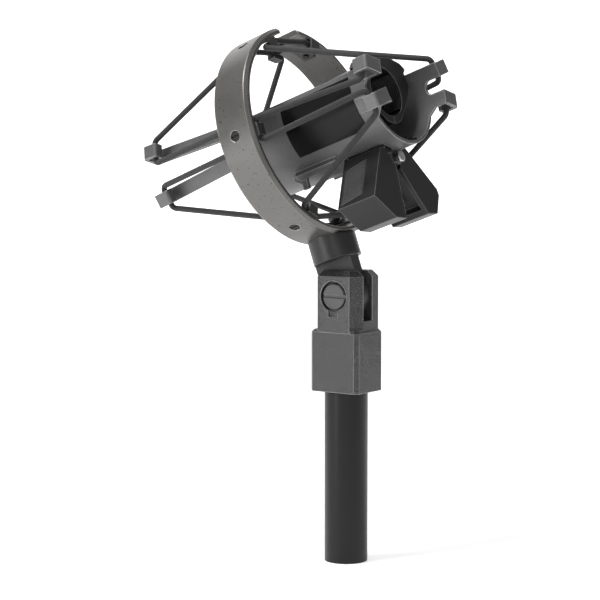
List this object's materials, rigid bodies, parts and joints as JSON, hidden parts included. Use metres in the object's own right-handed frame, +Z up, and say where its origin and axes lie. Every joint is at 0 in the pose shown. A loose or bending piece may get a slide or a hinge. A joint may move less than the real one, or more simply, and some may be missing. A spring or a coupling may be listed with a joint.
{
  "type": "microphone shock mount on a stand tube",
  "caption": "Microphone shock mount: a split ring hangs a spring clip's trough cradle on elastic cords, on a tilting stand adapter.",
  "frame": {"origin": "centre of the stand tube's lower end face", "axes": "+Z up along the stand tube; the tilt screw lies along Y, its slotted head on the -Y side; the microphone axis lies in the XZ plane and rises towards +X"},
  "size_m": [0.1213, 0.0912, 0.2231],
  "materials": {
    "stand_tube_paint": "satin black paint",
    "stud_steel": "zinc plated, threaded",
    "adapter_paint": "fine sparkling dark grey paint",
    "screw_steel": "dark grey, satin",
    "nut_steel": "zinc plated",
    "washer_fibre": "dark fibre",
    "ring_paint": "warm grey satin paint",
    "stem_paint": "grey satin paint",
    "bracket_screw_steel": "black oxide",
    "elastic_braid": "dark braided cover on a rubber core",
    "cradle_paint": "grey satin paint",
    "plate_black": "plain black, satin",
    "pad_rubber": "black rubber, ribbed",
    "clip_plastic": "black, fine texture",
    "pin_steel": "bright steel",
    "spring_steel": "drawn spring wire",
    "bracket_paint": "dark grey satin paint"
  },
  "bodies": {
    "stand": {"stand_tube": "stand_tube_paint", "stand_stud": "stud_steel", "adapter_block": "adapter_paint", "swivel_screw": "screw_steel", "swivel_nut": "nut_steel", "friction_washers": "washer_fibre"},
    "ring": {"suspension_ring": "ring_paint", "ring_stem": "stem_paint", "near_hook_bracket": "bracket_paint", "far_hook_bracket": "bracket_paint", "lower_near_hook_bracket": "bracket_paint", "lower_far_hook_bracket": "bracket_paint", "top_near_hook_bracket": "bracket_paint", "top_far_hook_bracket": "bracket_paint", "bracket_screws": "bracket_screw_steel", "front_elastic_cord": "elastic_braid", "rear_elastic_cord": "elastic_braid"},
    "cradle": {"cradle_shell": "cradle_paint", "name_plate": "plate_black", "floor_pad": "pad_rubber", "clip_pin": "pin_steel", "pin_retainer": "pin_steel", "clip_spring": "spring_steel"},
    "near_jaw": {"near_lever": "clip_plastic", "near_jaw_pad": "pad_rubber"},
    "far_jaw": {"far_lever": "clip_plastic", "far_jaw_pad": "pad_rubber"}
  },
  "joints": [
    {"name": "swivel_tilt", "type": "hinge", "parent": "stand", "child": "ring", "pos_m": [0, 0, 0.112], "axis": [0, 1, 0], "range_deg": [-70, 109]},
    {"name": "suspension", "type": "slide", "parent": "ring", "child": "cradle", "axis": [0.9426, 0, 0.3338], "range_m": [-0.004, 0.004], "stiffness_N_per_m": 900, "deforming": ["front_elastic_cord", "rear_elastic_cord"]},
    {"name": "near_clip", "type": "hinge", "parent": "cradle", "child": "near_jaw", "pos_m": [0.01774, 0, 0.16676], "axis": [0.9426, 0, 0.3338], "range_deg": [0, 2.8], "stiffness_Nm_per_rad": 0.5, "springref_deg": -17.19, "deforming": ["clip_spring"]},
    {"name": "far_clip", "type": "hinge", "parent": "cradle", "child": "far_jaw", "pos_m": [0.01774, 0, 0.16676], "axis": [0.9426, 0, 0.3338], "range_deg": [-2.8, 0], "stiffness_Nm_per_rad": 0.5, "springref_deg": 17.19, "deforming": ["clip_spring"]}
  ],
  "couplings": [
    {"joint": "far_clip", "follows": "near_clip", "ratio": -1}
  ]
}
